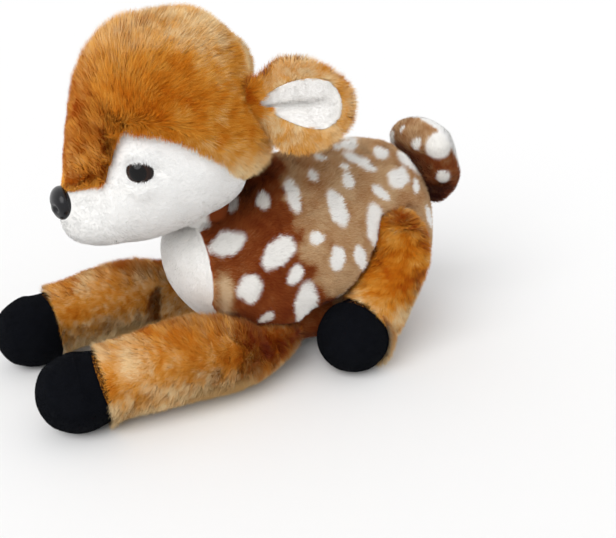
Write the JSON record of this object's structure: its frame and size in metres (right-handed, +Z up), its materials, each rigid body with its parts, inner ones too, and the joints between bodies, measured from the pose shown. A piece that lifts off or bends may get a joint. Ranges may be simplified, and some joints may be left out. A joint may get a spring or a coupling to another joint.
{
  "type": "plush toy",
  "caption": "Stuffed plush fawn lying on its belly, with turning head, movable ears, legs and tail, printed body panels, white mask and chest, black hoof caps, plastic eyes and nose.",
  "frame": {"origin": "on the floor under the middle of the belly, at the flat rest under the belly panel", "axes": "-Y towards the nose, +X to the toy's left side, +Z up"},
  "size_m": [0.1604, 0.3007, 0.2107],
  "materials": {
    "golden_plush": "long-pile plush, shorn to about 8 mm",
    "printed_plush": "short-pile plush printed with pale spots",
    "white_plush": "short-pile plush",
    "black_fleece": "fleece",
    "stuffing": "loose polyester fibre",
    "eye_plastic": "polished",
    "nose_plastic": "satin, moulded",
    "washer_plastic": "moulded"
  },
  "bodies": {
    "body": {"body_print_left": "printed_plush", "body_print_right": "printed_plush", "chest_belly_panel": "white_plush", "body_filling": "stuffing"},
    "neck": {"neck_filling": "stuffing"},
    "head": {"head_crown": "golden_plush", "mask_left": "white_plush", "mask_right": "white_plush", "head_filling": "stuffing", "eye_left": "eye_plastic", "eye_right": "eye_plastic", "eye_washer_left": "washer_plastic", "eye_washer_right": "washer_plastic", "nose": "nose_plastic", "nose_washer": "washer_plastic"},
    "ear_left": {"ear_back_left": "golden_plush", "ear_lining_left": "white_plush"},
    "ear_right": {"ear_back_right": "golden_plush", "ear_lining_right": "white_plush"},
    "tail": {"tail_top": "printed_plush", "tail_underside": "white_plush", "tail_filling": "stuffing"},
    "foreleg_left": {"foreleg_left_cover": "golden_plush", "foreleg_left_hoof": "black_fleece", "foreleg_left_filling": "stuffing"},
    "foreleg_right": {"foreleg_right_cover": "golden_plush", "foreleg_right_hoof": "black_fleece", "foreleg_right_filling": "stuffing"},
    "hindleg_left": {"hindleg_left_cover": "golden_plush", "hindleg_left_hoof": "black_fleece", "hindleg_left_filling": "stuffing"},
    "hindleg_right": {"hindleg_right_cover": "golden_plush", "hindleg_right_hoof": "black_fleece", "hindleg_right_filling": "stuffing"}
  },
  "joints": [
    {"name": "neck_turn", "type": "hinge", "parent": "body", "child": "neck", "pos_m": [0, -0.0629, 0.09451], "axis": [0, 0, 1], "range_deg": [-20, 20], "stiffness_Nm_per_rad": 0.4},
    {"name": "head_nod", "type": "hinge", "parent": "neck", "child": "head", "pos_m": [0, -0.0629, 0.09451], "axis": [1, 0, 0], "range_deg": [-8, 10], "stiffness_Nm_per_rad": 1.2},
    {"name": "ear_left_swing", "type": "hinge", "parent": "head", "child": "ear_left", "pos_m": [0.03689, -0.04692, 0.17163], "axis": [0, 0, 1], "range_deg": [-15, 15], "stiffness_Nm_per_rad": 0.02},
    {"name": "ear_right_swing", "type": "hinge", "parent": "head", "child": "ear_right", "pos_m": [-0.03673, -0.04692, 0.17163], "axis": [0, 0, 1], "range_deg": [-15, 15], "stiffness_Nm_per_rad": 0.02},
    {"name": "foreleg_left_swing", "type": "hinge", "parent": "body", "child": "foreleg_left", "pos_m": [0.034, -0.03608, 0.02745], "axis": [1, 0, 0], "range_deg": [-15, 8], "stiffness_Nm_per_rad": 0.5},
    {"name": "foreleg_right_swing", "type": "hinge", "parent": "body", "child": "foreleg_right", "pos_m": [-0.034, -0.04502, 0.02745], "axis": [1, 0, 0], "range_deg": [-15, 8], "stiffness_Nm_per_rad": 0.5},
    {"name": "hindleg_left_swing", "type": "hinge", "parent": "body", "child": "hindleg_left", "pos_m": [0.034, 0.04995, 0.07722], "axis": [1, 0, 0], "range_deg": [-6, 15], "stiffness_Nm_per_rad": 0.5},
    {"name": "hindleg_right_swing", "type": "hinge", "parent": "body", "child": "hindleg_right", "pos_m": [-0.034, 0.04995, 0.07722], "axis": [1, 0, 0], "range_deg": [-6, 15], "stiffness_Nm_per_rad": 0.5},
    {"name": "tail_lift", "type": "hinge", "parent": "body", "child": "tail", "pos_m": [0, 0.08621, 0.1008], "axis": [1, 0, 0], "range_deg": [-10, 16], "stiffness_Nm_per_rad": 0.06}
  ]
}
